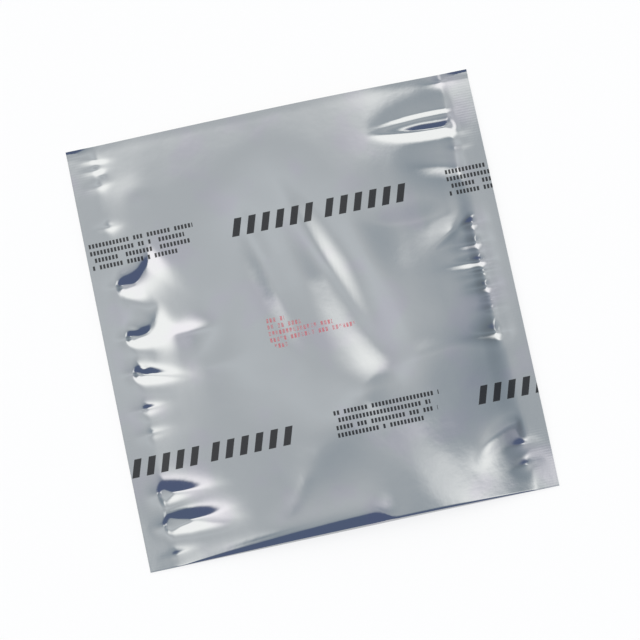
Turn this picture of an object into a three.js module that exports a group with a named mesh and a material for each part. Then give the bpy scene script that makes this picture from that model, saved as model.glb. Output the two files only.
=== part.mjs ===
// An open-top static shielding bag, lying empty on its back panel.
// It is one sheet of thin metallised film, folded in half at the bottom and welded to itself
// down both sides, so the pouch is open only at the top edge. A little air has stayed in it:
// the front panel stands up as a low tent, gathered into short valleys along the two side seals
// and lying in a few long soft folds across its middle. The bottom fold is a round hairpin.
// Millimetres, +Z up, +X across the bag, +Y from the bottom fold to the mouth.
// The origin is on the ground under the middle of the bag.
import * as THREE from "three";
import { mergeVertices } from "three/addons/utils/BufferGeometryUtils.js";

// The sheet and its two side seals
const BAG_WIDTH = 206; // across both seals
const BAG_LENGTH = 214; // bottom fold to mouth
const SEAL_WIDTH = 10.5;
const FILM_THICKNESS = 0.08;

// How high the seals lie
const CORNER_HEIGHT = 0.4; // seal's cut edge above the ground, at the bag's corners
const SEAL_ARCH = 1.5; // how much higher the seals are halfway up the bag
const SEAL_CANT = 0.45; // how much higher a weld line is than the cut edge beside it
const STRIP_SHARE = 0.22; // share of each gather's depth that the seal beside it follows
const STRIP_FADE = 7; // how far out into the seal that goes
const LIP_CURL = 0.1; // how far the lips curl up along the mouth
const CORNER_CURL = 0.45; // and at the mouth's two corners
const CURL_LENGTH = 3; // how far down from the mouth the curl starts
const CORNER_REACH = 14; // how far in from the cut edges the corner's curl goes

// How the air holds the bag open. Each rise is the front panel's height above the seals.
const BODY_RISE = 6.2; // at the middle of the bag
const MOUTH_RISE = 4.6; // at the middle of the mouth
const FOOT_RISE = 5.6; // where the panel meets the bottom fold
const FOOT_REACH = 0.4; // share of the length in which the foot's rise grows to the body's
const MOUTH_REACH = 0.55; // share of the length in which the body's rise falls to the mouth's
const CROWN_PLACE = 0.15; // place of the highest line, as a share of the half width
const TENT_POWER = 1.7; // how round the tent's section is, seal to seal
const REST_SHARE = 0.88; // share of the pouch's half width in which the back panel lies flat
const LEAST_ROOM = 0.9; // the panels stay this far apart
const ROOM_REACH = 3; // how far in from a weld line that holds in full
const FOLD_DEPTH = 8.5; // reach of the round bottom fold, where it is deepest

// Gathers in the film beside each seal. at: place along the seal, 0 at the fold and 1 at the mouth.
// above, below: half widths towards the mouth and towards the fold. reach: how far in it fades.
// drift: how far it wanders towards the mouth for each millimetre inwards.
const LEFT_GATHERS = [
  { at: 0.026, above: 2.8, below: 3, reach: 10, depth: 0.5, drift: 0.1 },
  { at: 0.096, above: 4.4, below: 10, reach: 23, depth: 2.7, drift: 0.05 },
  { at: 0.171, above: 4.8, below: 11, reach: 21, depth: 2.7, drift: -0.07 },
  { at: 0.311, above: 3, below: 3.5, reach: 12, depth: 0.7, drift: 0 },
  { at: 0.369, above: 2.8, below: 3.5, reach: 11, depth: 1, drift: 0 },
  { at: 0.456, above: 4.2, below: 10, reach: 24, depth: 2.6, drift: -0.26 },
  { at: 0.539, above: 3.8, below: 7, reach: 14, depth: 2.2, drift: 0 },
  { at: 0.661, above: 3.2, below: 9, reach: 11, depth: 1.4, drift: 0 },
  { at: 0.806, above: 2.8, below: 3, reach: 7, depth: 0.8, drift: 0 },
  { at: 0.905, above: 2.8, below: 3, reach: 8, depth: 0.8, drift: 0.1 },
  { at: 0.969, above: 3.4, below: 2.8, reach: 9, depth: 1.1, drift: -0.1 },
];
const RIGHT_GATHERS = [
  { at: 0.063, above: 3, below: 2.8, reach: 8, depth: 0.6, drift: -0.1 },
  { at: 0.11, above: 2.8, below: 2.8, reach: 8, depth: 0.6, drift: 0 },
  { at: 0.367, above: 6.5, below: 3, reach: 16, depth: 1.5, drift: 0.2 },
  { at: 0.432, above: 2.8, below: 2.8, reach: 7, depth: 0.7, drift: 0 },
  { at: 0.489, above: 2.8, below: 2.8, reach: 10, depth: 1.2, drift: 0 },
  { at: 0.549, above: 2.8, below: 3, reach: 14, depth: 1.5, drift: 0.05 },
  { at: 0.595, above: 2.8, below: 2.8, reach: 11, depth: 1.3, drift: 0 },
  { at: 0.64, above: 2.8, below: 2.8, reach: 9, depth: 1.3, drift: 0 },
  { at: 0.845, above: 3, below: 3, reach: 7, depth: 0.6, drift: 0.1 },
];
const GATHER_SPREAD = 0.03; // how much a gather's half widths grow for each millimetre inwards
const GATHER_START = 4.5; // how far in from the weld line a gather comes to its full depth
const GATHER_ROUND = 0.35; // roundness of a gather's bottom

// Long soft folds in the front panel. from and to are shares of the half width and half length.
// bow: how far the line's middle bulges to its left. left, right: half widths on either side of it.
// round: how round its top is. rise: its height, negative for a valley. fadeFrom, fadeTo: shares of
// the line's length in which it dies out at each end.
const FOLDS = [
  // the two long valleys down the middle
  fold([-0.165, 0.953], [0.456, -0.449], 0, 10.5, 15, 0.55, -4.1, 0.6, 0.5),
  fold([-0.252, 0.617], [0.01, -0.224], 0, 7, 10, 0.5, -2, 0.5, 0.5),
  // the rim of the shallow pan on the right, and the crest that goes on from it to the fold
  fold([0.932, 0.393], [0.233, 0.411], 9, 30, 12, 0.5, -1.4, 0.4, 0.4),
  fold([1.01, -0.252], [0.078, -0.336], 0, 26, 10, 0.35, 1.5, 0.4, 0.45),
  fold([0.35, -0.206], [-0.272, -0.804], 0, 24, 16, 0.4, 1.3, 0.35, 0.5),
  // the pinched pleat under the mouth, and the valley below it
  fold([0.961, 0.828], [0.427, 0.798], -2, 2.4, 9, 0.3, -0.5, 0.2, 0.5),
  fold([0.961, 0.753], [0.427, 0.787], 2, 2.8, 4.4, 0.3, -1.9, 0.2, 0.6),
  fold([0.981, 0.57], [0.563, 0.673], 0, 6, 9, 0.6, -1, 0.3, 0.6),
  // short ridges beside the right seal
  fold([0.942, 0.364], [0.563, 0.15], 0, 3, 7, 0.4, 0.6, 0.45, 0.5),
  fold([0.961, -0.664], [0.602, -0.86], -6, 8, 4.5, 0.4, 0.7, 0.3, 0.5),
  // the two hooked valleys beside the left seal, and the soft folds that run in from them
  fold([-0.903, 0.308], [-0.689, 0.505], -7, 4, 14, 0.35, -1.7, 0.3, 0.45),
  fold([-0.893, 0.056], [-0.699, 0.234], -6, 4, 9, 0.35, -1.3, 0.4, 0.45),
  fold([-0.388, 0.037], [-0.816, 0], 0, 8, 9, 0.4, 1.1, 0.5, 0.4),
  fold([-0.951, 0.252], [-0.291, -0.065], 0, 12, 9, 0.8, -0.7, 0.3, 0.5),
  fold([-0.291, -0.112], [-0.738, -0.168], 0, 20, 9, 0.4, 0.6, 0.4, 0.5),
  // low on the bag
  fold([-0.893, -0.794], [-0.447, -0.86], 0, 5, 5, 0.4, -0.6, 0.3, 0.6),
  fold([0.233, -0.925], [-0.718, -0.944], 0, 5, 10, 0.6, 0.8, 0.2, 0.4),
];
const FOLD_MARGIN = 5; // how far in from the weld line the folds come to their full height
const FOLD_FALL = 1.4; // how fast a fold's or gather's side falls away

// Round swells in the front panel: a shallow pan on the right and a low dome at the upper left.
const SWELLS = [
  { at: [0.544, 0.019], wide: 34, tall: 36, rise: -1 },
  { at: [-0.767, 0.748], wide: 11, tall: 10, rise: 0.6 },
];

// How finely the film is divided. Rows are finer beside the seals, where the gathers are.
const SEAL_ROWS = 66; // between mouth and fold, on a column beside a seal
const MIDDLE_ROWS = 34; // on a column across the middle
const HAIRPIN_ROWS = 6; // round the bottom fold
const WELD_HAIRPIN_ROWS = 2; // round the fold where it is pressed flat in a seal
const GATHER_STEPS = [3.5, 8, 13, 19]; // columns beside a seal, from its weld line
const MIDDLE_COLUMNS = 18; // gaps between the last of those
const FOLD_V = 0.08; // share of a panel's row scale that the fold takes
const PROBE = 1e-3; // step for slopes
const SAME_POINT = 1e-4; // points nearer than this are one

const HALF_WIDTH = BAG_WIDTH / 2;
const HALF_LENGTH = BAG_LENGTH / 2;
const WELD = HALF_WIDTH - SEAL_WIDTH; // weld line, from the middle

function fold(from, to, bow, left, right, round, rise, fadeFrom, fadeTo) {
  return { from, to, bow, left, right, round, rise, fadeFrom, fadeTo };
}

const hill = (t) => Math.exp(-t * t);
const ease = (t) => {
  const c = THREE.MathUtils.clamp(t, 0, 1);
  return c * c * (3 - 2 * c);
};

// A hump whose top is round or, with little roundness, a crease.
const crest = (t, round) => Math.exp(-FOLD_FALL * (Math.hypot(t, round) - round));

// Share of the way from the fold (0) to the mouth (1), and from the highest line to a weld (1).
const along = (y) => (y + HALF_LENGTH) / BAG_LENGTH;
function across(x) {
  const aside = x - CROWN_PLACE * HALF_WIDTH;
  const room = WELD - Math.sign(aside) * CROWN_PLACE * HALF_WIDTH;
  return Math.min(1, Math.abs(aside) / room);
}
const inwardOf = (x) => Math.max(0, WELD - Math.abs(x));

// Depth of the gathers at this place. They fade inwards, and outwards into the seal.
function gathered(x, y) {
  const inward = inwardOf(x);
  const outward = Math.max(0, Math.abs(x) - WELD);
  let depth = 0;
  for (const g of x < 0 ? LEFT_GATHERS : RIGHT_GATHERS) {
    const aside = y + HALF_LENGTH - g.at * BAG_LENGTH - g.drift * inward;
    const half = (aside > 0 ? g.above : g.below) + GATHER_SPREAD * inward;
    depth += g.depth * crest(aside / half, GATHER_ROUND) * hill(inward / g.reach);
  }
  return depth * (1 - ease(outward / STRIP_FADE));
}

// How far the lips curl up: only next to the mouth, and most at its corners.
function lipCurl(x, y) {
  const nearLip = THREE.MathUtils.clamp(1 - (HALF_LENGTH - y) / CURL_LENGTH, 0, 1) ** 2;
  const corner = hill((HALF_WIDTH - Math.abs(x)) / CORNER_REACH);
  return nearLip * THREE.MathUtils.lerp(LIP_CURL, CORNER_CURL, corner);
}

// Height of the welded seal's middle surface, which sags to the ground towards the corners.
function sealHeight(x, y) {
  const end = Math.abs(2 * along(y) - 1);
  const outside = Math.max(0, Math.abs(x) - WELD) / SEAL_WIDTH;
  const arch = CORNER_HEIGHT + SEAL_ARCH * (1 - end ** 4) + SEAL_CANT * (1 - ease(outside));
  return arch - STRIP_SHARE * gathered(x, y) + lipCurl(x, y);
}

// Sum of the long folds and the swells at this place.
function folded(x, y) {
  let rise = 0;
  for (const f of FOLDS) {
    const start = new THREE.Vector2(f.from[0] * HALF_WIDTH, f.from[1] * HALF_LENGTH);
    const end = new THREE.Vector2(f.to[0] * HALF_WIDTH, f.to[1] * HALF_LENGTH);
    const run = end.sub(start);
    const here = new THREE.Vector2(x, y).sub(start);
    const t = here.dot(run) / run.lengthSq();
    const on = THREE.MathUtils.clamp(t, 0, 1);
    const aside = run.cross(here) / run.length() - 4 * f.bow * on * (1 - on);
    const section = crest(aside / (aside > 0 ? f.left : f.right), f.round);
    rise += f.rise * section * ease(t / f.fadeFrom) * ease((1 - t) / f.fadeTo);
  }
  for (const w of SWELLS) {
    const u = (x - w.at[0] * HALF_WIDTH) / w.wide;
    const v = (y - w.at[1] * HALF_LENGTH) / w.tall;
    rise += w.rise * hill(Math.hypot(u, v));
  }
  return rise;
}

// Height of the back panel: flat on the ground, lifting to the seals beside them.
function backHeight(x, y) {
  const aside = Math.min(1, Math.abs(x) / WELD);
  const lift = (Math.max(0, aside - REST_SHARE) / (1 - REST_SHARE)) ** 2;
  return (sealHeight(x, y) - FILM_THICKNESS) * lift;
}

// Height of the front panel: the tent, less the gathers, with the folds. It keeps clear of the back.
function frontHeight(x, y) {
  const inward = inwardOf(x);
  const body = THREE.MathUtils.lerp(FOOT_RISE, BODY_RISE, ease(along(y) / FOOT_REACH));
  const top = ease((along(y) - 1 + MOUTH_REACH) / MOUTH_REACH);
  let rise = (1 - across(x) ** TENT_POWER) * THREE.MathUtils.lerp(body, MOUTH_RISE, top);
  rise -= (1 - STRIP_SHARE) * gathered(x, y) * ease(inward / GATHER_START);
  rise += folded(x, y) * ease(inward / FOLD_MARGIN);
  const back = backHeight(x, y);
  const least = LEAST_ROOM * ease(inward / ROOM_REACH);
  const spare = sealHeight(x, y) + FILM_THICKNESS + rise - back - least;
  return back + least + (spare + Math.hypot(spare, least / 4)) / 2;
}

// Reach of the round fold at this column: pressed flat where the film is welded.
const foldReach = (x) => FILM_THICKNESS + FOLD_DEPTH * (1 - across(x) ** 2);

// A point of the film's outer face. v runs along the sheet: -1 at the front lip, 0 at the tip of
// the fold and 1 at the back lip.
function outerPoint(x, v) {
  const reach = foldReach(x);
  const start = -HALF_LENGTH + reach;
  const side = Math.abs(v);
  if (side >= FOLD_V) {
    const y = THREE.MathUtils.lerp(start, HALF_LENGTH, (side - FOLD_V) / (1 - FOLD_V));
    return new THREE.Vector3(x, y, v < 0 ? frontHeight(x, y) : backHeight(x, y));
  }
  const top = frontHeight(x, start);
  const bottom = backHeight(x, start);
  const turn = (v / FOLD_V) * (Math.PI / 2);
  const y = start - reach * Math.cos(turn);
  return new THREE.Vector3(x, y, (top + bottom) / 2 - ((top - bottom) / 2) * Math.sin(turn));
}

// The same point on the inner face, one film thickness in. The panels meet at the weld line.
function innerPoint(x, v) {
  const outer = outerPoint(x, v);
  if (inwardOf(x) === 0) {
    const y = Math.max(outer.y, -HALF_LENGTH + FILM_THICKNESS);
    return new THREE.Vector3(x, y, sealHeight(x, y));
  }
  const sideways = outerPoint(x + PROBE, v).sub(outerPoint(x - PROBE, v));
  const onwards = outerPoint(x, v + PROBE).sub(outerPoint(x, v - PROBE));
  const normal = onwards.cross(sideways).normalize();
  const point = outer.clone().addScaledVector(normal, -FILM_THICKNESS);
  if (Math.abs(v) === 1) point.y = outer.y;
  return point;
}

// Row places along a column: front panel, hairpin, back panel.
function rowsOf(count, turns) {
  const panel = [];
  for (let i = 0; i <= count; i++) panel.push(THREE.MathUtils.lerp(FOLD_V, 1, i / count));
  const hairpin = [];
  for (let i = 1; i < turns; i++) hairpin.push(FOLD_V * ((2 * i) / turns - 1));
  return [...panel.toReversed().map((v) => -v), ...hairpin, ...panel];
}

// Columns across the pouch, from weld line to weld line, each with its rows.
function pouchColumns() {
  const beside = [{ x: WELD, vs: rowsOf(SEAL_ROWS, WELD_HAIRPIN_ROWS) }];
  for (const step of GATHER_STEPS) beside.push({ x: WELD - step, vs: rowsOf(SEAL_ROWS, HAIRPIN_ROWS) });
  const last = beside.at(-1).x;
  const middle = [];
  for (let i = 1; i < MIDDLE_COLUMNS; i++) {
    const x = THREE.MathUtils.lerp(-last, last, i / MIDDLE_COLUMNS);
    middle.push({ x, vs: rowsOf(MIDDLE_ROWS, HAIRPIN_ROWS) });
  }
  return [...beside.map(({ x, vs }) => ({ x: -x, vs })), ...middle, ...beside.toReversed()];
}

// The outer face has one more column on each side, along the cut edge of the seal.
function allColumns() {
  const vs = rowsOf(SEAL_ROWS, WELD_HAIRPIN_ROWS);
  return [{ x: -HALF_WIDTH, vs }, ...pouchColumns(), { x: HALF_WIDTH, vs }];
}

// Points and faces of the film while it is put together.
const places = [];
const faces = [];
const face = (a, b, c) => faces.push(a, b, c);
const insideFace = (a, b, c) => faces.push(a, c, b);

// Puts down the points of each column, and says where each column starts and ends.
function layColumns(columns, pointAt) {
  return columns.map(({ x, vs }) => {
    const first = places.length;
    for (const v of vs) places.push(pointAt(x, v));
    return { vs, first, last: places.length - 1 };
  });
}

// Faces between each column and the next, taking whichever column's next row comes first.
function joinColumns(columns, add) {
  for (let c = 0; c + 1 < columns.length; c++) {
    const [p, q] = [columns[c], columns[c + 1]];
    let [i, j] = [0, 0];
    while (i < p.vs.length - 1 || j < q.vs.length - 1) {
      const nextP = p.vs[i + 1] ?? Infinity;
      const nextQ = q.vs[j + 1] ?? Infinity;
      if (nextP <= nextQ) add(p.first + i, p.first + ++i, q.first + j);
      else add(p.first + i, q.first + j + 1, q.first + j++);
    }
  }
}

// The cut edge of a seal: the narrow face between its front and back panel, from mouth to fold.
function closeEdge(column, add) {
  for (let i = column.first, j = column.last; j - i > 1; i++, j--) {
    add(i, j, i + 1);
    if (j - i > 2) add(i + 1, j, j - 1);
  }
}

// The lips: the film's thickness along the mouth on both panels, and the end of each seal.
function closeMouth(outer, inner) {
  for (let c = 0; c + 1 < inner.length; c++) {
    const [out, nextOut, ins, nextIns] = [outer[c + 1], outer[c + 2], inner[c], inner[c + 1]];
    face(out.first, nextOut.first, ins.first);
    face(nextOut.first, nextIns.first, ins.first);
    face(out.last, ins.last, nextOut.last);
    face(nextOut.last, ins.last, nextIns.last);
  }
  const sealEnd = (edge, weld, meeting, add) => {
    add(edge.first, weld.first, meeting.first);
    add(meeting.first, weld.last, edge.last);
    add(edge.first, meeting.first, edge.last);
  };
  sealEnd(outer[0], outer[1], inner[0], face);
  sealEnd(outer.at(-1), outer.at(-2), inner.at(-1), insideFace);
}

// The whole bag: outer face, inner face, seal edges and lips, with points that coincide made one.
function filmGeometry() {
  const outer = layColumns(allColumns(), outerPoint);
  const inner = layColumns(pouchColumns(), innerPoint);
  joinColumns(outer, face);
  joinColumns(inner, insideFace);
  closeEdge(outer[0], face);
  closeEdge(outer.at(-1), insideFace);
  closeMouth(outer, inner);
  const loose = new THREE.BufferGeometry().setFromPoints(places);
  loose.setIndex(faces);
  const merged = mergeVertices(loose, SAME_POINT);
  const index = merged.index.array;
  const kept = [];
  for (let i = 0; i < index.length; i += 3) {
    const [a, b, c] = [index[i], index[i + 1], index[i + 2]];
    if (a !== b && b !== c && a !== c) kept.push(a, b, c);
  }
  merged.setIndex(kept);
  merged.computeVertexNormals();
  return merged;
}

const film = new THREE.MeshStandardMaterial({ color: 0xa9aeb2, roughness: 0.25, metalness: 0.85 });

const bag = new THREE.Group();
const pouch = new THREE.Mesh(filmGeometry(), film);
pouch.name = "film_pouch";
bag.add(pouch);

export default bag;
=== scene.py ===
# %% [markdown]
# # A static shielding bag, lying empty
#
# The bag is one sheet of thin metallised film. It is folded in half at the bottom, welded to itself
# down both sides and open at the top. A mirror has hardly any colour of its own, so this lesson is
# about two things: the true shape of the film, crease by crease, and the studio that it reflects.
#
# Lengths are written in millimetres and become metres when the mesh is made.

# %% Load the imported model
import math

import bmesh
import bpy
import numpy as np
from mathutils import Matrix, Vector


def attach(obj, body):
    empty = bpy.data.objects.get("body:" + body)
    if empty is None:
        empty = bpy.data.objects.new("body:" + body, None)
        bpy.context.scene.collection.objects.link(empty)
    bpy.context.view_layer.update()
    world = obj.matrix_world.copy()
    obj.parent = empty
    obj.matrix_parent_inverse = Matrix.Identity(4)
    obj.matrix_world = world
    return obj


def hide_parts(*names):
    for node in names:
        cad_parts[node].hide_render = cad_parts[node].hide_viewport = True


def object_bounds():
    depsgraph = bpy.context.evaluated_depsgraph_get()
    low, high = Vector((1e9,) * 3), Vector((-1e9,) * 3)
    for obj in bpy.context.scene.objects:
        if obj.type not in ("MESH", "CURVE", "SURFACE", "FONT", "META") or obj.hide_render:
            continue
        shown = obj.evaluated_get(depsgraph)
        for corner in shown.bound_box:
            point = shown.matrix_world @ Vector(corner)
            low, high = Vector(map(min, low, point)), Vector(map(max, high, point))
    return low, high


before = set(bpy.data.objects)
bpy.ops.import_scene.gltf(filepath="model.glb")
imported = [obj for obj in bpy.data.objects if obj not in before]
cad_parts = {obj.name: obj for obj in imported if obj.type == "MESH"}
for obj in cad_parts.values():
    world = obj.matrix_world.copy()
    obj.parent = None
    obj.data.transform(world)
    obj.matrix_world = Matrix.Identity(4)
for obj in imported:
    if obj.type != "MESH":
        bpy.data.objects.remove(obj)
cad_low, cad_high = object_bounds()
MM = 0.001
print("packed model, mm:", [round(side / MM, 1) for side in cad_high - cad_low])

# %% [markdown]
# ## The size of the sheet
#
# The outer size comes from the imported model, so the film always fits it. The seal is the welded
# strip down each side, and the film is about as thick as a hair.

# %% The sheet
HALF_WIDTH = (cad_high.x - cad_low.x) / 2 / MM
HALF_LENGTH = (cad_high.y - cad_low.y) / 2 / MM
LENGTH = 2 * HALF_LENGTH
SEAL_WIDTH = 10.5
FILM = 0.08
WELD = HALF_WIDTH - SEAL_WIDTH
print("weld lines at x =", round(-WELD, 1), "and", round(WELD, 1))


# %% [markdown]
# ## Soft steps and humps
#
# Three small curves shape everything. `ease` goes from 0 to 1 without a corner. `hill` is a round
# hump. `crest` is a hump whose top can be as round as a hill or as sharp as a crease, which is what
# thin film does when it is bent one way and then the other.


# %% Curves
def ease(t):
    t = np.clip(t, 0, 1)
    return t * t * (3 - 2 * t)


def hill(t):
    return np.exp(-t * t)


CREST_FALL = 1.4


def crest(t, roundness):
    return np.exp(-CREST_FALL * (np.sqrt(t * t + roundness * roundness) - roundness))


print("a crest halfway down:", np.round(crest(np.array([0.0, 0.5, 1.0]), 0.3), 2))

# %% [markdown]
# ## Gathers beside the seals
#
# Air in the bag pulls the film inwards, but the stiff seals can't follow, so the film beside them
# gathers into short valleys. Each row is one valley: where it meets the weld, its half width towards
# the mouth and towards the fold, how far it reaches in, its depth, and how far it wanders towards
# the mouth for each millimetre inwards. A valley of negative depth is a bulge.

# %% Gather tables
LEFT_GATHERS = [
    (100.3, 3.4, 1.6, 7, 0.9, -0.10),
    (94.8, 1.6, 1.5, 5, 0.8, 0.05),
    (86.6, 1.8, 2.6, 6, 0.7, 0.10),
    (65.5, 2.2, 2.5, 7, 0.8, 0.00),
    (34.5, 3.2, 7.0, 10, 1.3, 0.00),
    (8.3, 3.8, 3.6, 12, 1.9, 0.00),
    (-9.5, 4.2, 3.5, 20, 2.1, -0.24),
    (-28.0, 2.4, 3.5, 11, 1.0, 0.00),
    (-40.5, 3.0, 3.5, 12, 0.7, 0.00),
    (-70.5, 4.8, 5.2, 20, 2.4, -0.07),
    (-86.5, 4.4, 3.6, 21, 2.2, 0.05),
    (-101.5, 2.5, 3.0, 10, 0.5, 0.10),
]
RIGHT_GATHERS = [
    (103.5, 1.6, 2.2, 8, 0.4, 0.00),
    (76.8, 3.0, 2.0, 5, 0.6, 0.10),
    (69.5, 3.0, 1.8, 5, 0.5, 0.10),
    (29.4, 5.5, 3.2, 10, 1.3, 0.00),
    (19.6, 5.5, 3.2, 12, 1.4, 0.00),
    (9.8, 4.5, 2.6, 15, 1.4, 0.05),
    (4.6, 1.4, 2.4, 11, 0.7, 0.00),
    (-3.0, 4.5, 3.2, 10, 1.3, 0.00),
    (-9.0, 1.4, 1.6, 6, 0.5, 0.00),
    (-14.5, 3.0, 2.0, 7, 0.6, 0.00),
    (-26.5, 7.0, 3.4, 15, 1.5, 0.05),
    (-83.5, 2.4, 2.4, 7, 0.6, 0.00),
    (-93.5, 3.4, 2.4, 7, 0.6, -0.10),
]
GATHER_SPREAD = 0.03
GATHER_ROUNDNESS = 0.35
STRIP_FADE = 7.0
print(len(LEFT_GATHERS), "gathers on the left,", len(RIGHT_GATHERS), "on the right")


# %% Depth of the gathers
def gathered(x, y):
    inward = np.maximum(0, WELD - np.abs(x))
    outward = np.maximum(0, np.abs(x) - WELD)
    depth = np.zeros_like(x)
    for side, rows in ((-1, LEFT_GATHERS), (1, RIGHT_GATHERS)):
        for at, above, below, reach, deep, drift in rows:
            aside = y - at - drift * inward
            half = np.where(aside > 0, above, below) + GATHER_SPREAD * inward
            valley = deep * crest(aside / half, GATHER_ROUNDNESS) * hill(inward / reach)
            depth = depth + np.where(x * side > 0, valley, 0)
    return depth * (1 - ease(outward / STRIP_FADE))


left_weld_line = np.linspace(-HALF_LENGTH, HALF_LENGTH, 215)
deepest = gathered(np.full(215, -WELD), left_weld_line).max()
print("deepest gather on the left, mm:", round(float(deepest), 2))


# %% [markdown]
# ## The seals
#
# The two welded strips are stiffer than the film between them. Each arches a little off the ground
# along its length, and sags from the weld line to the cut edge. A share of each gather goes on into
# the strip, and the lips at the mouth curl up a little, most at the two corners.

# %% Height of the seals
CORNER_HEIGHT = 0.4
SEAL_ARCH = 1.5
SEAL_CANT = 0.45
STRIP_SHARE = 0.22
CURL_LENGTH = 4.5
CORNER_CURL = 1.0
LIP_CURL = 0.1
CORNER_REACH = 14.0


def lip_curl(x, y):
    near_lip = np.clip(1 - (HALF_LENGTH - y) / CURL_LENGTH, 0, 1) ** 2
    corner = hill((HALF_WIDTH - np.abs(x)) / CORNER_REACH)
    return near_lip * (LIP_CURL + (CORNER_CURL - LIP_CURL) * corner)


def seal_height(x, y):
    end = np.abs(y) / HALF_LENGTH
    outside = np.maximum(0, np.abs(x) - WELD) / SEAL_WIDTH
    arch = CORNER_HEIGHT + SEAL_ARCH * (1 - end**4) + SEAL_CANT * (1 - outside)
    return arch - STRIP_SHARE * gathered(x, y) + lip_curl(x, y)


halfway = seal_height(np.array([WELD]), np.array([0.0]))
print("right weld halfway along, mm:", np.round(halfway, 2))


# %% [markdown]
# ## Long creases
#
# Across the middle the film lies in a few long soft folds. Each row is one: its two ends, how far its
# middle bows out to its left, its half width to the left and to the right of the line, the roundness
# of its top, its height (negative is a valley), and the share of its length over which each end
# fades out. Small bumps and one wide swell have rows of their own: centre, the two half widths, turn
# in degrees and height. All of them fade out before they reach a weld.

# %% Crease table
CREASES = [
    # two long valleys down the middle, steeper on the right
    ((-13, 96), (43, -62), 0, 10.5, 20, 0.45, -3.9, 0.5, 0.55),
    ((-28, 74), (1, -38), 0, 8.5, 11, 0.4, -1.7, 0.4, 0.5),
    # the rim of the shallow pan on the right
    ((96, 42), (24, 44), 9, 30, 12, 0.5, -1.4, 0.4, 0.4),
    ((104, -27), (8, -36), 0, 26, 10, 0.6, 1.0, 0.4, 0.45),
    ((36, -22), (-28, -86), 0, 15, 24, 0.5, 1.7, 0.35, 0.5),
    # the pinched pleat under the mouth on the right
    ((99, 88.6), (44, 85.4), -2, 1.4, 9, 0.3, -0.5, 0.2, 0.5),
    ((99, 80.6), (44, 84.2), 2, 2.4, 4.4, 0.3, -1.6, 0.2, 0.6),
    # the right side
    ((101, 57), (56, 67), 0, 6, 9, 0.5, -0.8, 0.25, 0.5),
    ((97, 39), (58, 16), 0, 3.0, 7, 0.4, 0.6, 0.45, 0.5),
    ((99, -71), (62, -92), -6, 8, 4.5, 0.4, 0.7, 0.3, 0.5),
    # the left side: two hooked leaves, a pointed ridge and soft diagonals
    ((-93, 33), (-71, 54), -7, 4.0, 13, 0.35, -2.0, 0.3, 0.45),
    ((-92, 6), (-72, 25), -6, 4.0, 9, 0.35, -1.3, 0.4, 0.45),
    ((-42, 5), (-80, 5), 0, 10, 6.5, 0.35, 1.5, 0.45, 0.35),
    ((-98, 27), (-30, -7), 0, 12, 9, 0.8, -0.7, 0.3, 0.5),
    ((-30, -12), (-76, -18), 0, 20, 9, 0.4, 0.6, 0.4, 0.5),
    # low on the bag
    ((-92, -85), (-46, -92), 0, 7, 4, 0.4, -1.1, 0.3, 0.6),
    ((-13, -66), (-33, -96), 2, 3, 3, 0.4, 0.4, 0.4, 0.3),
    ((24, -99), (-74, -101), 0, 5, 10, 0.6, 0.8, 0.2, 0.4),
]
BUMPS = [
    ((-75, 79), 9, 8, 0, 0.35),
    ((-90.5, 98), 1.8, 1.5, 20, 0.25),
    ((-88.5, 92), 2.4, 1.6, 0, 0.3),
    ((-85.8, -8.6), 1.8, 1.4, 0, 0.3),
    ((-87.5, 11.5), 2.4, 1.4, -20, 0.35),
    ((78, 12), 28, 32, 0, 0.7),
]
MARGIN_SHARE = 1 / 3
CREASE_MARGIN = 4.0
BUMP_MARGIN = 3.0
MOST_MARGIN = 14.0
print(len(CREASES), "creases and", len(BUMPS), "bumps")


# %% Height of the creases
def margin(width, least):
    return min(max(width * MARGIN_SHARE, least), MOST_MARGIN)


def creased(x, y):
    inward = np.maximum(0, WELD - np.abs(x))
    rise = np.zeros_like(x)
    for (ax, ay), (bx, by), bow, left, right, roundness, height, fade_a, fade_b in CREASES:
        run = (bx - ax, by - ay)
        length = math.hypot(*run)
        t = ((x - ax) * run[0] + (y - ay) * run[1]) / length**2
        inside = np.clip(t, 0, 1)
        aside = (run[0] * (y - ay) - run[1] * (x - ax)) / length - 4 * bow * inside * (1 - inside)
        section = crest(np.where(aside > 0, aside / left, -aside / right), roundness)
        ends = ease(t / fade_a) * ease((1 - t) / fade_b)
        rise += height * section * ends * ease(inward / margin(left + right, CREASE_MARGIN))
    for (cx, cy), wide, tall, turn, height in BUMPS:
        c, s = math.cos(math.radians(turn)), math.sin(math.radians(turn))
        u = ((x - cx) * c + (y - cy) * s) / wide
        v = ((y - cy) * c - (x - cx) * s) / tall
        rise += height * hill(np.hypot(u, v)) * ease(inward / margin(wide, BUMP_MARGIN))
    return rise


print("widest margin beside a weld, mm:", margin(100, CREASE_MARGIN))


# %% [markdown]
# ## The pillow
#
# Between the seals the front panel stands up as a low tent, highest in the middle of the bag and
# lower at the mouth and at the bottom fold. The film leaves a weld at about a third of that slope,
# since the stiff seal holds it down. The back panel lies on the ground, apart from the stretch beside
# each seal, and a least room keeps the two panels from touching.

# %% Front and back panel
BODY_RISE = 6.2
MOUTH_RISE = 4.6
FOOT_RISE = 5.6
FOOT_REACH = 0.4
MOUTH_REACH = 0.55
PILLOW_POWER = 1.7
PEAK_X = 15.0
GATHER_START = 4.5
REST_SHARE = 0.88
LEAST_ROOM = 0.55
ROOM_REACH = 7.0
WELD_SHARE = 0.35
WELD_REACH = 5.0
ROOM_ROUNDNESS = 0.25


def along(y):
    return (y + HALF_LENGTH) / LENGTH


def across(x):
    share = np.where(x > PEAK_X, (x - PEAK_X) / (WELD - PEAK_X), (PEAK_X - x) / (WELD + PEAK_X))
    return np.minimum(1, share)


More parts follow.
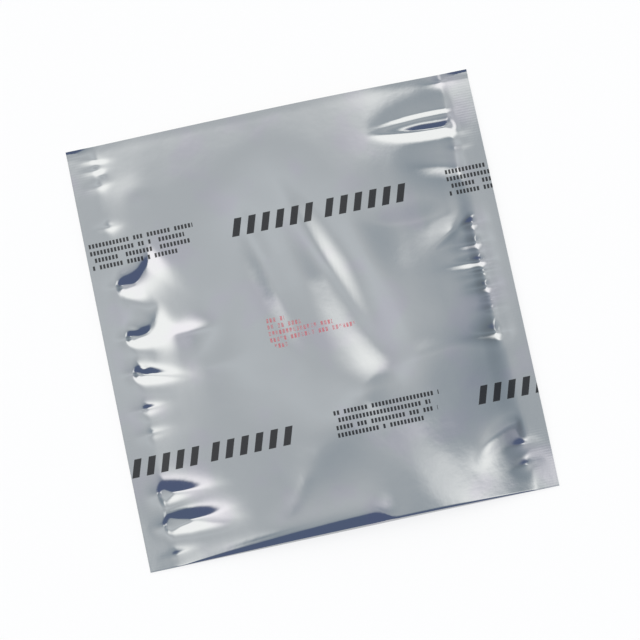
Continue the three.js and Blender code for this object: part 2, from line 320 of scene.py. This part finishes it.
def back_height(x, y):
    aside = np.minimum(1, np.abs(x) / WELD)
    lift = (np.maximum(0, aside - REST_SHARE) / (1 - REST_SHARE)) ** 2
    return (seal_height(x, y) - FILM) * lift


def front_height(x, y):
    inward = np.maximum(0, WELD - np.abs(x))
    body = FOOT_RISE + (BODY_RISE - FOOT_RISE) * ease(along(y) / FOOT_REACH)
    top = ease((along(y) - 1 + MOUTH_REACH) / MOUTH_REACH)
    crown = body + (MOUTH_RISE - body) * top
    leaving = WELD_SHARE + (1 - WELD_SHARE) * (1 - np.exp(-inward / WELD_REACH))
    rise = (1 - across(x) ** PILLOW_POWER) * crown * leaving
    rise = rise - (1 - STRIP_SHARE) * gathered(x, y) * ease(inward / GATHER_START)
    rise = rise + creased(x, y)
    back = back_height(x, y)
    least = LEAST_ROOM * ease(inward / ROOM_REACH)
    spare = seal_height(x, y) + FILM + rise - back - least
    return back + least + (spare + np.hypot(spare, ROOM_ROUNDNESS * least)) / 2


middle = np.array([0.0])
print("front panel in the middle, mm:", np.round(front_height(middle, middle), 2))

# %% [markdown]
# ## Round the bottom fold
#
# A place on the sheet is named by its column `x` and by `v`, which runs from -1 at the front lip,
# through 0 at the tip of the fold, to 1 at the back lip. Near 0 the film turns round half an
# ellipse. It reaches in furthest a little right of the middle, tapers off slowly to the left and is
# pressed flat on the right. The inner face is the same surface, moved in along its own normal.

# %% Points of the film
FOLD_DEPTH = 7.6
FOLD_TOP = 11.0
FOLD_LEFT = 98.0
FOLD_RIGHT = 11.0
FOLD_REST = 0.2
FOLD_POWER = 1.4
FOLD_V = 0.08
PROBE = 1e-3


def fold_reach(x):
    to_right = x > FOLD_TOP
    aside = np.where(to_right, (x - FOLD_TOP) / FOLD_RIGHT, (FOLD_TOP - x) / FOLD_LEFT)
    hump = 1 - np.minimum(aside, 1) ** FOLD_POWER
    bulge = (1 - FOLD_REST) * np.where(to_right, hump**2, hump)
    rest = FOLD_REST * (1 - np.minimum(1, np.abs(x) / WELD) ** 2)
    return FILM + FOLD_DEPTH * (bulge + rest)


def outer_points(x, v):
    reach = fold_reach(x)
    start = -HALF_LENGTH + reach
    side = np.abs(v)
    t = np.clip((side - FOLD_V) / (1 - FOLD_V), 0, 1)
    y = start + t * (HALF_LENGTH - start)
    flat = np.where(v < 0, front_height(x, y), back_height(x, y))
    top, bottom = front_height(x, start), back_height(x, start)
    turn = np.clip(v / FOLD_V, -1, 1) * (math.pi / 2)
    round_y = start - reach * np.cos(turn)
    round_z = (top + bottom) / 2 - (top - bottom) / 2 * np.sin(turn)
    in_fold = side < FOLD_V
    return np.stack([x, np.where(in_fold, round_y, y), np.where(in_fold, round_z, flat)], -1)


def normals(x, v):
    sideways = outer_points(x + PROBE, v) - outer_points(x - PROBE, v)
    onwards = outer_points(x, v + PROBE) - outer_points(x, v - PROBE)
    normal = np.cross(onwards, sideways)
    return normal / np.linalg.norm(normal, axis=-1, keepdims=True)


print("the fold reaches in by, mm:", np.round(fold_reach(np.array([-60.0, 0.0, 60.0])), 2))


# %% [markdown]
# The inner faces are only seen through the mouth. At the lips they lie one film thickness in, which
# is the thin edge that the eye looks for. Further down they are held a little further in, because
# they have fewer rows and would otherwise show through the sharpest creases.

# %% Inner face
LIP_DEPTH = 6.0
INNER_EXTRA = 0.15
WELD_SNAP = 1e-6


def inner_points(x, v):
    outer = outer_points(x, v)
    room = np.clip((1 - np.abs(v)) * LENGTH / LIP_DEPTH, 0, 1)
    beside = np.clip((WELD - np.abs(x)) / LIP_DEPTH, 0, 1)
    points = outer - normals(x, v) * (FILM + INNER_EXTRA * room * beside)[..., None]
    points[..., 1] = np.where(np.abs(v) >= 1, outer[..., 1], points[..., 1])
    meeting = np.abs(x) > WELD - WELD_SNAP
    weld_y = np.maximum(outer[..., 1], -HALF_LENGTH + FILM)
    weld = np.stack([x, weld_y, seal_height(x, weld_y)], -1)
    return np.where(meeting[..., None], weld, points)


mouth_middle = inner_points(middle, middle - 1)
print("inner face at the front lip, mm:", np.round(mouth_middle, 2))


# %% [markdown]
# ## Columns and rows
#
# The mesh is a grid. Columns are close together beside the seals, where the gathers are, and wider
# apart across the middle. Outside, the front panel has the most rows, since it has all the creases.
# Inside, both panels have the same number, so that they meet row by row along the welds.

# %% Grid places
STRIP_STEPS = 6
GATHER_ZONE = 30.0
GATHER_STEP = 0.85
MIDDLE_STEP = 2.1


def steps(low, high, size):
    return np.linspace(low, high, max(1, round((high - low) / size)) + 1)


zone = WELD - GATHER_ZONE
half_pouch = steps(zone, WELD, GATHER_STEP)
pouch_x = np.concatenate([-half_pouch[::-1], steps(-zone, zone, MIDDLE_STEP)[1:-1], half_pouch])
strip = np.linspace(WELD, HALF_WIDTH, STRIP_STEPS + 1)[1:]
all_x = np.concatenate([-strip[::-1], pouch_x, strip])


def rows(front, fold, back):
    panel_a = -np.linspace(1, FOLD_V, front + 1)
    turn = np.linspace(-FOLD_V, FOLD_V, fold + 1)[1:-1]
    panel_b = np.linspace(FOLD_V, 1, back + 1)
    return np.concatenate([panel_a, turn, panel_b])


OUTER_V = rows(front=236, fold=16, back=52)
INNER_V = rows(front=150, fold=8, back=150)
print(len(all_x), "columns,", len(OUTER_V), "rows outside,", len(INNER_V), "inside")

# %% [markdown]
# ## One closed sheet
#
# The outer grid, the inner grid, the lips at the mouth and the cut edges of the seals are joined
# into one closed solid, as thin as the real film. The faces are smooth, apart from edges of more than
# 50 degrees, such as the lips and the cut edges, which stay crisp.


# %% Join the grids
def grid_faces(first, columns, row_count, flip):
    c, r = np.meshgrid(np.arange(columns - 1), np.arange(row_count - 1), indexing="ij")
    a = first + c * row_count + r
    quads = np.stack([a, a + 1, a + row_count + 1, a + row_count], -1).reshape(-1, 4)
    return quads[:, [0, 3, 2, 1]] if flip else quads


outer_x, outer_v = np.meshgrid(all_x, OUTER_V, indexing="ij")
inner_x, inner_v = np.meshgrid(pouch_x, INNER_V, indexing="ij")
outer = outer_points(outer_x, outer_v)
inner = inner_points(inner_x, inner_v)
points = np.concatenate([outer.reshape(-1, 3), inner.reshape(-1, 3)])
rows_out, rows_in = len(OUTER_V), len(INNER_V)
first_in = outer_x.size
faces = grid_faces(0, len(all_x), rows_out, False).tolist()
faces += grid_faces(first_in, len(pouch_x), rows_in, True).tolist()
print("outer and inner faces:", len(faces))


# %% Lips
def out_at(column, row):
    return column * rows_out + row % rows_out


def in_at(column, row):
    return first_in + column * rows_in + row % rows_in


for c in range(len(pouch_x) - 1):
    o = c + STRIP_STEPS
    faces.append([out_at(o, 0), out_at(o + 1, 0), in_at(c + 1, 0), in_at(c, 0)])
    faces.append([out_at(o + 1, -1), out_at(o, -1), in_at(c, -1), in_at(c + 1, -1)])
last = len(all_x) - 1
last_in = len(pouch_x) - 1
for c in range(STRIP_STEPS):
    left_weld = [in_at(0, 0)] if c + 1 == STRIP_STEPS else []
    faces.append([out_at(c, 0), out_at(c + 1, 0), *left_weld, out_at(c + 1, -1), out_at(c, -1)])
    a, b = last - c - 1, last - c
    right_weld = [in_at(last_in, 0)] if c + 1 == STRIP_STEPS else []
    faces.append([out_at(a, 0), out_at(b, 0), out_at(b, -1), out_at(a, -1), *right_weld])
print("with lips:", len(faces))


# %% Cut edges of the seals
def close_edge(column, flip):
    tip = int(np.argmin(np.abs(OUTER_V)))
    front, back = 0, rows_out - 1
    while front < tip or back > tip:
        front_y = outer[column, min(front + 1, tip), 1]
        back_y = outer[column, max(back - 1, tip), 1]
        if back == tip or (front < tip and front_y >= back_y):
            face = [out_at(column, front), out_at(column, back), out_at(column, front + 1)]
            front += 1
        else:
            face = [out_at(column, front), out_at(column, back), out_at(column, back - 1)]
            back -= 1
        if len(set(face)) == 3:
            faces.append(face[::-1] if flip else face)


close_edge(0, False)
close_edge(last, True)
print("with cut edges:", len(faces))

# %% [markdown]
# ## Places on the flat sheet
#
# The print was put on while the film was flat, so it is laid out in sheet coordinates: x across and
# y up the front panel, going on below the bottom fold for the back panel. A second map spreads the
# outer and the inner face side by side without overlap, for baking.

# %% Sheet coordinates for each point
outer_down = np.where(outer_v < 0, outer[..., 1], -LENGTH - outer[..., 1])
inner_down = np.where(inner_v < 0, inner[..., 1], -LENGTH - inner[..., 1])
sheet_x = np.concatenate([outer_x.ravel(), inner_x.ravel()])
sheet_y = np.concatenate([outer_down.ravel(), inner_down.ravel()])
is_inner = np.arange(len(points)) >= first_in
MAP_MARGIN = 0.01
MAP_HALF = 0.48
map_u = MAP_MARGIN + MAP_HALF * (sheet_x + HALF_WIDTH) / (2 * HALF_WIDTH) + 0.5 * is_inner
map_v = MAP_MARGIN + (1 - 2 * MAP_MARGIN) * (HALF_LENGTH - sheet_y) / (2 * LENGTH)
print("sheet runs from y =", round(sheet_y.max(), 1), "to", round(sheet_y.min(), 1))


# %% Make the mesh
def film_mesh(name):
    mesh = bpy.data.meshes.new(name)
    mesh.from_pydata((points * MM).tolist(), [], faces)
    corner = np.empty(len(mesh.loops), np.int32)
    mesh.loops.foreach_get("vertex_index", corner)
    for layer, u, v in (("sheet", sheet_x * MM, sheet_y * MM), ("OFBake", map_u, map_v)):
        places = np.stack([u[corner], v[corner]], -1)
        mesh.uv_layers.new(name=layer).data.foreach_set("uv", places.ravel())
    return mesh


SAME_PLACE = 2e-7
SHARP = math.radians(50)
film = bpy.data.objects.new("film", film_mesh("film"))
bpy.context.scene.collection.objects.link(film)
work = bmesh.new()
work.from_mesh(film.data)
bmesh.ops.remove_doubles(work, verts=work.verts, dist=SAME_PLACE)
bmesh.ops.dissolve_degenerate(work, edges=work.edges, dist=SAME_PLACE)
open_edges = sum(1 for edge in work.edges if not edge.is_manifold)
for face in work.faces:
    face.smooth = True
for edge in work.edges:
    edge.smooth = edge.calc_face_angle(0) < SHARP
work.to_mesh(film.data)
work.free()
print("faces", len(film.data.polygons), "open or doubled edges", open_edges)

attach(film, "root")
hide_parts("film_pouch")

# %% [markdown]
# ## Shader sums in Python
#
# Materials and the studio are node trees. This small class lets a socket be used in a Python
# expression: each operator adds the Math node that does it. Every other node is made by `make_node`,
# and `add` hands one of its outputs on.


# %% Sockets in Python expressions
class Level:
    def __init__(self, tree, socket):
        self.tree = tree
        self.socket = socket

    def math(self, operation, *values):
        node = self.tree.nodes.new("ShaderNodeMath")
        node.operation = operation
        for socket, value in zip(node.inputs, values):
            if isinstance(value, Level):
                self.tree.links.new(value.socket, socket)
            else:
                socket.default_value = value
        return Level(self.tree, node.outputs[0])

    def __add__(self, other):
        return self.math("ADD", self, other)

    def __radd__(self, other):
        return self.math("ADD", other, self)

    def __sub__(self, other):
        return self.math("SUBTRACT", self, other)

    def __rsub__(self, other):
        return self.math("SUBTRACT", other, self)

    def __mul__(self, other):
        return self.math("MULTIPLY", self, other)

    def __rmul__(self, other):
        return self.math("MULTIPLY", other, self)

    def __truediv__(self, other):
        return self.math("DIVIDE", self, other)

    def __pow__(self, other):
        return self.math("POWER", self, other)

    def __rpow__(self, other):
        return self.math("POWER", other, self)

    def __gt__(self, other):
        return self.math("GREATER_THAN", self, other)

    def __abs__(self):
        return self.math("ABSOLUTE", self)

    def most(self, other):
        return self.math("MAXIMUM", self, other)

    def least(self, other):
        return self.math("MINIMUM", self, other)

    def part(self):
        return self.math("FRACT", self)

    def floor(self):
        return self.math("FLOOR", self)

    def sine(self):
        return self.math("SINE", self)

    def ease(self, low, high):
        settings = {"interpolation_type": "SMOOTHSTEP"}
        inputs = {"Value": self, "From Min": low, "From Max": high}
        return add(self.tree, "ShaderNodeMapRange", settings, inputs)


def make_node(tree, kind, settings=None, inputs=None):
    node = tree.nodes.new(kind)
    for name, value in (settings or {}).items():
        setattr(node, name, value)
    for name, value in (inputs or {}).items():
        socket = next(s for s in node.inputs if name in (s.identifier, s.name) and s.enabled)
        if isinstance(value, Level):
            tree.links.new(value.socket, socket)
        else:
            socket.default_value = value
    return node


def add(tree, kind, settings=None, inputs=None, output=0):
    return Level(tree, make_node(tree, kind, settings, inputs).outputs[output])


def mix(tree, share, a, b):
    inputs = {"Factor_Float": share, "A_Color": a, "B_Color": b}
    settings = {"data_type": "RGBA"}
    return add(tree, "ShaderNodeMix", settings, inputs, output=2)


def new_tree(thing):
    thing.use_nodes = True
    thing.node_tree.nodes.clear()
    return thing.node_tree


# %% [markdown]
# ## The studio
#
# Mirror film shows its surroundings, so the studio is painted as a sky that only depends on the
# direction. It has a pale grey ceiling, a warm soft box round its left and far sides, pale walls near
# the horizon and a dark blue room on the near side.

# %% Sky colours and places
COOL = (0.82, 0.95, 1.06, 1)
PLAIN = (0.95, 0.985, 1.0, 1)
WARM = (1.0, 0.985, 0.945, 1)
ROOM = (0.17, 0.22, 0.36, 1)
WALLS = (1.5, 1.52, 1.55, 1)
BOX_LEVEL = 1.95
CEILING_LEVEL = 1.06
STRAIGHT_UP = 0.1

world = bpy.data.worlds.new("studio")
bpy.context.scene.world = world
sky = new_tree(world)
direction = add(sky, "ShaderNodeTexCoord", output="Generated")
apart = make_node(sky, "ShaderNodeSeparateXYZ", None, {"Vector": direction})
right = Level(sky, apart.outputs["X"])
far = Level(sky, apart.outputs["Y"])
beyond = far - STRAIGHT_UP
tilt = (right * right + beyond * beyond) ** 0.5
print("sky directions:", [s.name for s in apart.outputs])

# %% [markdown]
# The ceiling is brightest straight up. It falls off most to the right and to the near side, which is
# what gives flat film its slow changes of grey. Darker places are bluer.

# %% Ceiling
RIGHT_FALL = 2.2
NEAR_FALL = 2.2
LEFT_FALL = 0.5
FAR_FALL = 1.5
RIGHT_START = 0.1
TINT_LIMITS = (0.45, 0.95)

fall = (right - RIGHT_START).most(0) * RIGHT_FALL - right.least(0) * LEFT_FALL
fall = fall - beyond.least(0) * NEAR_FALL + beyond.most(0) * FAR_FALL
level = CEILING_LEVEL * 2 ** (0 - fall)
tint = mix(sky, level.ease(*TINT_LIMITS), COOL, PLAIN)
inputs = {"Vector": tint, "Scale": level}
ceiling = add(sky, "ShaderNodeVectorMath", {"operation": "SCALE"}, inputs)
print("straight up the ceiling is", CEILING_LEVEL)

# %% [markdown]
# The soft box is an arc of light that leaves out the near side and the right. It shows only in film
# that is tilted some way towards it. Film that is tilted steeply shows the pale walls, and film that
# faces the near side shows the dark room.

# %% Soft box and room
LEFT_SQUEEZE = 0.7
BOX_LEAN = (0.14, 0.38)
NEAR_SIDE = (-0.85, -0.65)
RIGHT_SIDE = (0.9, 0.75)
WALL_TILT = (0.78, 0.92)
ROOM_START = (0.27, 0.36)
ROOM_SKEW = 0.1
LEAST_TILT = 1e-4

leaning = ((right.most(0) + right.least(0) * LEFT_SQUEEZE) ** 2 + beyond * beyond) ** 0.5
not_near = (beyond / tilt.most(LEAST_TILT)).ease(*NEAR_SIDE)
not_right = (right / tilt.most(LEAST_TILT)).ease(*RIGHT_SIDE)
soft_box = leaning.ease(*BOX_LEAN) * not_near * not_right
box_colour = tuple(BOX_LEVEL * part for part in WARM[:3]) + (1,)
lit = mix(sky, soft_box, ceiling, box_colour)
walls = mix(sky, tilt.ease(*WALL_TILT), lit, WALLS)
low_near = (right * ROOM_SKEW - beyond).ease(*ROOM_START)
colour = mix(sky, low_near, walls, ROOM)
background = add(sky, "ShaderNodeBackground", None, {"Color": colour})
make_node(sky, "ShaderNodeOutputWorld", None, {"Surface": background})
print("nodes in the studio:", len(sky.nodes))

# %% [markdown]
# ## Where the print goes
#
# The print is rolled on while the film is flat, so its masks are sums in sheet millimetres. It is a
# plain pattern that says nothing: a row of twelve slanted bars, and beside it a block of four rows
# of small dashes. Both come back every 182 mm across the sheet, and the next row down is shifted.
# Its edges are a tenth of a millimetre soft, as ink on film is.

# %% Sheet places in the film's shader
finish = bpy.data.materials.new("metallised_film")
tree = new_tree(finish)
flat_place = add(tree, "ShaderNodeUVMap", {"uv_map": "sheet"})
apart = make_node(tree, "ShaderNodeSeparateXYZ", None, {"Vector": flat_place})
sheet_right = Level(tree, apart.outputs["X"]) / MM
sheet_up = Level(tree, apart.outputs["Y"]) / MM
EDGE = 0.12


def between(value, low, high, edge=EDGE):
    return value.ease(low - edge, low + edge) * value.ease(high + edge, high - edge)


def wrap(value, period):
    return (value / period).part() * period


# %% Bars and dashes
ACROSS_REPEAT = 182.0
DOWN_REPEAT = 214.0
BAR_HEIGHT = 9.0
BAR_PITCH = 7.3
BAR_WIDTH = 3.8
BAR_SLANT = 0.32
BARS_IN_GROUP = 6
GROUP_START = 47.0
BLOCK_START = 111.0
BLOCK_LENGTHS = (43.0, 51.0, 48.0, 53.0)
BLOCK_LOW = -1.8
LINE_PITCH = 3.7
LINE_HEIGHT = 2.2
DASH_PITCH = 1.75
DASH_SHARE = 0.62
DASH_MISSING = 0.12
LINE_SEED = 100


def dashes(x, y, length, seed):
    cell = (x / DASH_PITCH).floor()
    chance = add(tree, "ShaderNodeTexWhiteNoise", {"noise_dimensions": "1D"}, {"W": cell + seed})
    shown = chance > DASH_MISSING
    inside = between(x, 0, length) * between(y, 0, LINE_HEIGHT)
    dash_end = DASH_SHARE * DASH_PITCH
    return wrap(x, DASH_PITCH).ease(dash_end + EDGE, dash_end - EDGE) * shown * inside


def print_row(start, base, seed):
    x = wrap(sheet_right - start, ACROSS_REPEAT)
    y = wrap(sheet_up - base + DOWN_REPEAT / 4, DOWN_REPEAT) - DOWN_REPEAT / 4
    ink = 0
    for group in (0, GROUP_START):
        lean = x - group - BAR_SLANT * y
        bars = between(wrap(lean, BAR_PITCH), EDGE, BAR_WIDTH)
        in_group = between(lean, 0, BARS_IN_GROUP * BAR_PITCH)
        ink = ink + bars * in_group * between(y, 0, BAR_HEIGHT)
    for line, length in enumerate(BLOCK_LENGTHS):
        low = BLOCK_LOW + line * LINE_PITCH
        ink = ink + dashes(x - BLOCK_START, y - low, length, seed + LINE_SEED * line)
    return ink


black = print_row(start=-30.0, base=47.0, seed=3) + print_row(start=-110.0, base=-60.0, seed=500)
print("bars in each row of print:", 2 * BARS_IN_GROUP)

# %% [markdown]
# In the middle there are five short rows of faint red dashes, which have half rubbed off.

# %% Red dashes
RED_ROWS = ((1.1, 9.0), (-2.2, 17.0), (-5.5, 32.0), (-8.8, 43.0), (-12.1, 8.0))
RED_START = -22.0
RED_STRENGTH = 0.7
RED_SEED = 900
RED_LINE_SEED = 50
WORN_SCALE = 300.0
WORN_LIMITS = (0.3, 0.6)
red = 0
for line, (low, length) in enumerate(RED_ROWS):
    seed = RED_SEED + RED_LINE_SEED * line
    red = red + dashes(sheet_right - RED_START, sheet_up - low, length, seed)


def noise(scale, detail):
    inputs = {"Vector": flat_place, "Scale": scale, "Detail": detail}
    return add(tree, "ShaderNodeTexNoise", None, inputs)


red = red * noise(WORN_SCALE, 2.0).ease(*WORN_LIMITS) * RED_STRENGTH
print("rows of red dashes:", len(RED_ROWS))

# %% [markdown]
# ## The film's finish
#
# Metal vapour on clear plastic is a grey mirror. It is a little violet where the layers are thicker,
# and no film is quite flat: slow waves a few centimetres long, finer ripples, and ribs that the
# sealing bar pressed into the two strips. Those are too small for the mesh, so a bump carries them.
# Ink is a dark gloss that hides the mirror, so the masks lower the metal as well as the colour.

# %% Film colour
FILM_GREY = (0.432, 0.447, 0.463, 1)
FILM_VIOLET = (0.435, 0.425, 0.475, 1)
INK = (0.006, 0.007, 0.01, 1)
RED_INK = (0.55, 0.06, 0.08, 1)
CLOUD_SCALE = 38.0
CLOUD_LIMITS = (0.5, 0.68)
VIOLET_SHARE = 0.7
clouds = noise(CLOUD_SCALE, 2.0).ease(*CLOUD_LIMITS)
film_colour = mix(tree, clouds * VIOLET_SHARE, FILM_GREY, FILM_VIOLET)
film_colour = mix(tree, red, film_colour, RED_INK)
film_colour = mix(tree, black, film_colour, INK)
print("clouds about", round(1 / CLOUD_SCALE / MM), "mm across")

# %% Waves, ripples and ribs
WAVE_HEIGHT = 0.3
RIPPLE_HEIGHT = 0.018
RIB_HEIGHT = 0.001
RIB_PITCH = 1.3
RIB_FADE = 0.8
WAVE_SCALE = 32.0
RIPPLE_SCALE = 210.0
waves = noise(WAVE_SCALE, 1.0)
ripples = noise(RIPPLE_SCALE, 2.0)
on_strip = abs(sheet_right).ease(WELD, WELD + RIB_FADE)
ribs = (sheet_up * (2 * math.pi / RIB_PITCH)).sine()
height_map = waves * WAVE_HEIGHT + ripples * RIPPLE_HEIGHT + ribs * on_strip * RIB_HEIGHT
bump = add(tree, "ShaderNodeBump", None, {"Height": height_map, "Distance": MM, "Strength": 1.0})
print("waves and ripples, mm:", round(1 / WAVE_SCALE / MM), round(1 / RIPPLE_SCALE / MM))

# %% Film material
FILM_ROUGHNESS = 0.08
INK_ROUGHNESS = 0.28
surface = {
    "Base Color": film_colour,
    "Metallic": 1 - black.most(red),
    "Roughness": FILM_ROUGHNESS + (INK_ROUGHNESS - FILM_ROUGHNESS) * black,
    "Coat Weight": 0.2,
    "Coat Roughness": 0.05,
    "Normal": bump,
}
shader = add(tree, "ShaderNodeBsdfPrincipled", None, surface)
make_node(tree, "ShaderNodeOutputMaterial", None, {"Surface": shader})
film.data.materials.append(finish)
print("nodes in the film's material:", len(tree.nodes))

# %% [markdown]
# ## Floor and camera
#
# The bag lies on a plain white floor, most of whose white is its own glow where a camera, a mirror or
# a clear thing sees it, and the rest is paper that takes the bag's shadow. The camera looks almost
# straight down, turned a little, as in the reference view.

# %% Floor
FLOOR_SIZE = 4.0
FLOOR_WHITE = (0.95, 0.95, 0.95, 1)
GLOW_WHITE = (1, 1, 1, 1)
GLOW_SHARE = 0.82
floor_mesh = bpy.data.meshes.new("floor")
half = FLOOR_SIZE / 2
floor_points = [(-half, -half, 0), (half, -half, 0), (half, half, 0), (-half, half, 0)]
floor_mesh.from_pydata(floor_points, [], [(0, 1, 2, 3)])
floor = bpy.data.objects.new("floor", floor_mesh)
bpy.context.scene.collection.objects.link(floor)
floor_finish = bpy.data.materials.new("white_floor")
tree = new_tree(floor_finish)
paper = add(tree, "ShaderNodeBsdfDiffuse", None, {"Color": FLOOR_WHITE})
glow = add(tree, "ShaderNodeEmission", None, {"Color": GLOW_WHITE})
path = make_node(tree, "ShaderNodeLightPath")
seen = Level(tree, path.outputs["Is Camera Ray"]).most(Level(tree, path.outputs["Is Glossy Ray"]))
seen = seen.most(Level(tree, path.outputs["Is Transmission Ray"]))
both = add(
    tree,
    "ShaderNodeMixShader",
    None,
    {"Fac": seen * GLOW_SHARE, "Shader": paper, "Shader_001": glow},
)
make_node(tree, "ShaderNodeOutputMaterial", None, {"Surface": both})
floor_mesh.materials.append(floor_finish)
print("floor, m:", FLOOR_SIZE)

# %% Camera
CAMERA_TURN = -13.73
CAMERA_HEIGHT = 83.95
CAMERA_ROLL = 1.74
CAMERA_DISTANCE = 1.0
TARGET = Vector((4.4, -2.0, 0)) * MM
FOCAL_RATIO = 6.271
SENSOR_WIDTH = 36
turn, height, roll = (math.radians(a) for a in (CAMERA_TURN, CAMERA_HEIGHT, CAMERA_ROLL))
aside = math.cos(height)
back = Vector((aside * math.sin(turn), -aside * math.cos(turn), math.sin(height)))
side = (-back).cross(Vector((0, 0, 1))).normalized()
top = side.cross(-back)
right_way = side * math.cos(roll) + top * math.sin(roll)
up_way = top * math.cos(roll) - side * math.sin(roll)
lens = bpy.data.cameras.new("camera")
lens.sensor_width = SENSOR_WIDTH
lens.lens = SENSOR_WIDTH / 2 * FOCAL_RATIO
camera = bpy.data.objects.new("camera", lens)
bpy.context.scene.collection.objects.link(camera)
facing = Matrix((right_way, up_way, back)).transposed().to_4x4()
camera.matrix_world = Matrix.Translation(TARGET + back * CAMERA_DISTANCE) @ facing
bpy.context.scene.camera = camera
bpy.context.scene.view_settings.view_transform = "Standard"
print("focal length, mm:", round(lens.lens, 1))
